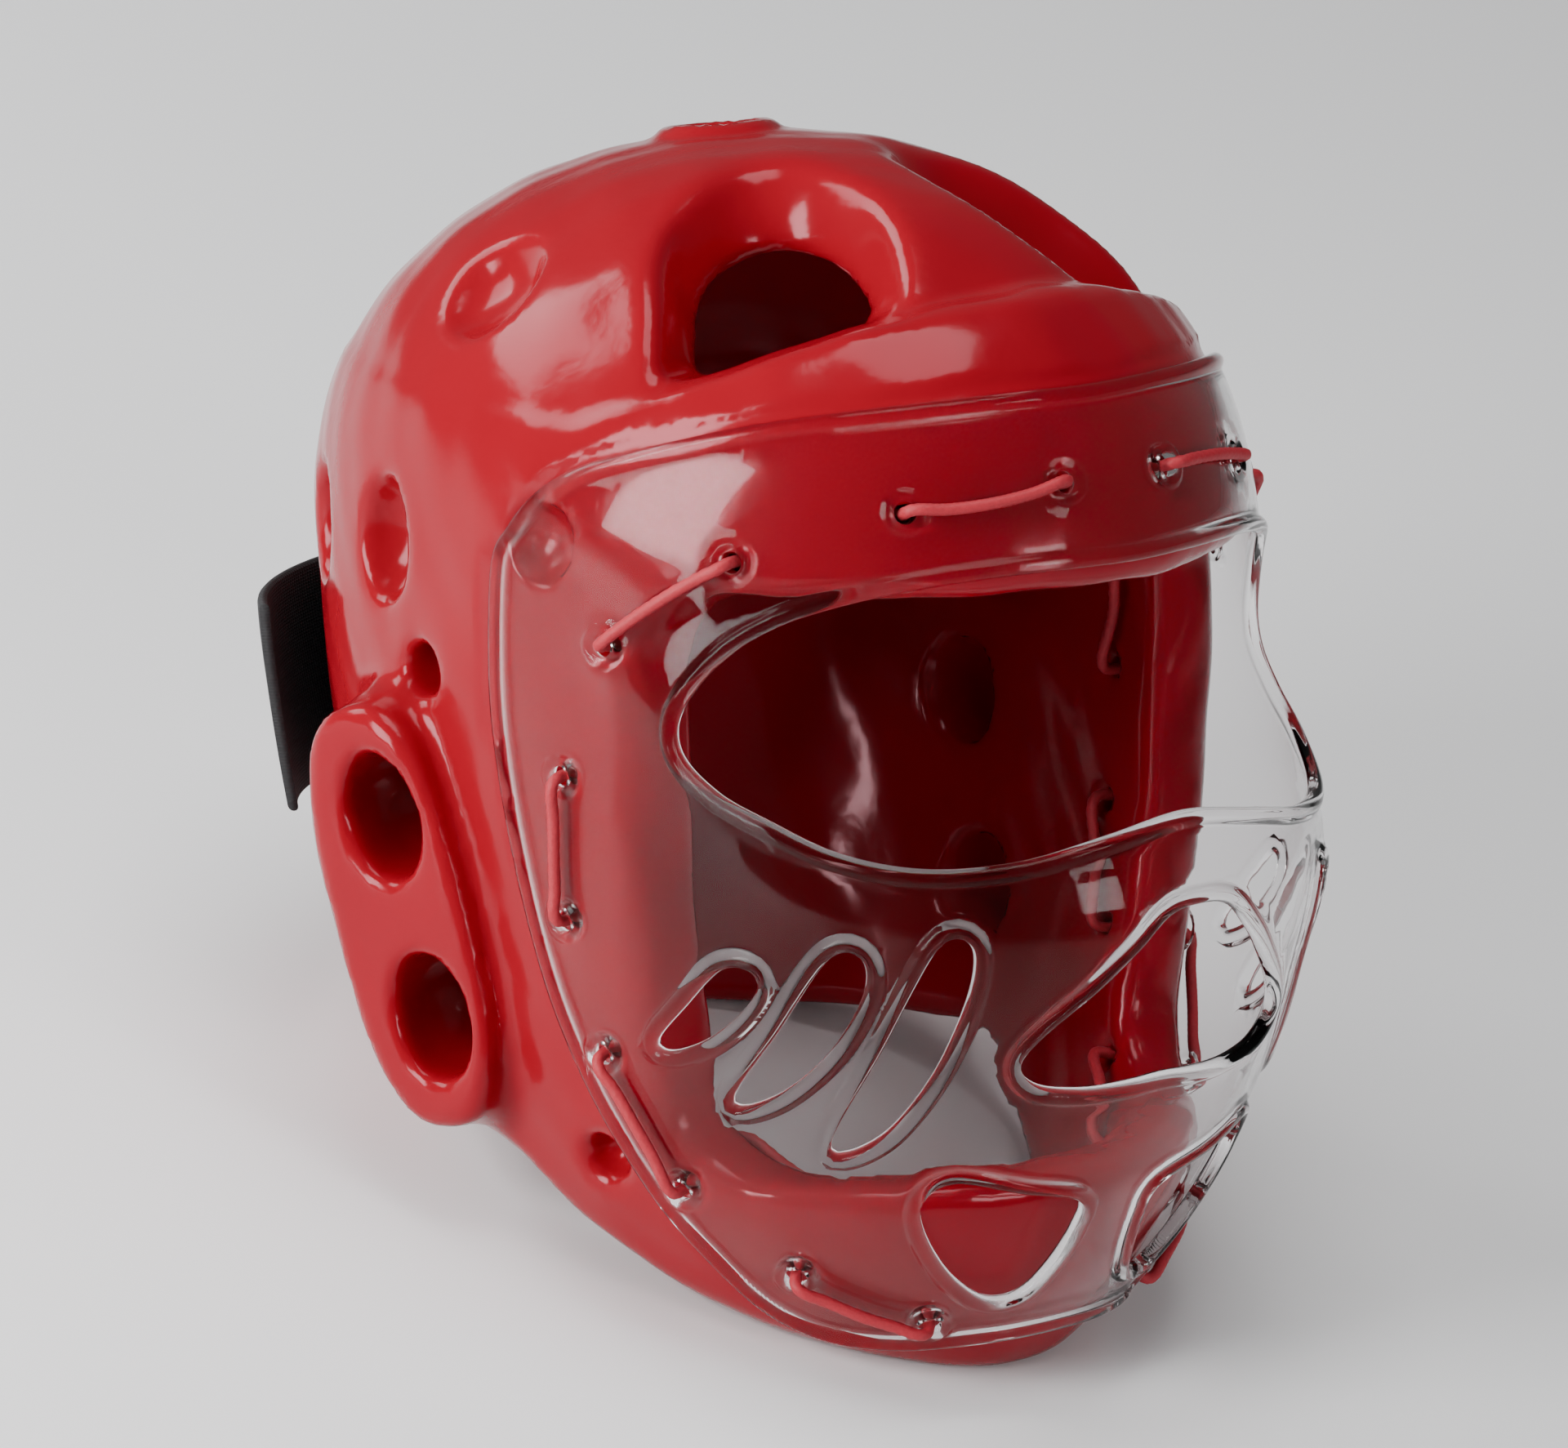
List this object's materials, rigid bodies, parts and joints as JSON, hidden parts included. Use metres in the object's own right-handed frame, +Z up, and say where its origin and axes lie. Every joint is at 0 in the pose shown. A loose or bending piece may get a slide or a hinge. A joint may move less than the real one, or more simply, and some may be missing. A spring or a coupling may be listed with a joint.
{
  "type": "head guard with face mask",
  "caption": "Padded foam head guard for sparring, with arched crown holes, raised ear pads, a chin guard and a clear bubble face mask laced over the face opening.",
  "frame": {"origin": "on the floor under the middle of the box, with the guard standing on its chin and its nape", "axes": "+X to the wearer's left, +Y to the back of the head, +Z up from the floor; the worn guard's own upright leans 18.4 degrees back from +Z"},
  "size_m": [0.228, 0.2768, 0.2444],
  "materials": {
    "dipped_foam": "glossy vinyl coat over foam, slightly uneven",
    "clear_sheet": "polished clear plastic sheet",
    "cord": "fine braided round cord",
    "webbing": "matte hook and loop webbing"
  },
  "bodies": {
    "root": {"guard_shell": "dipped_foam", "ear_pad_left": "dipped_foam", "ear_pad_right": "dipped_foam", "face_mask": "clear_sheet", "lace": "cord", "strap_hook": "webbing", "strap_loop": "webbing"}
  },
  "joints": []
}
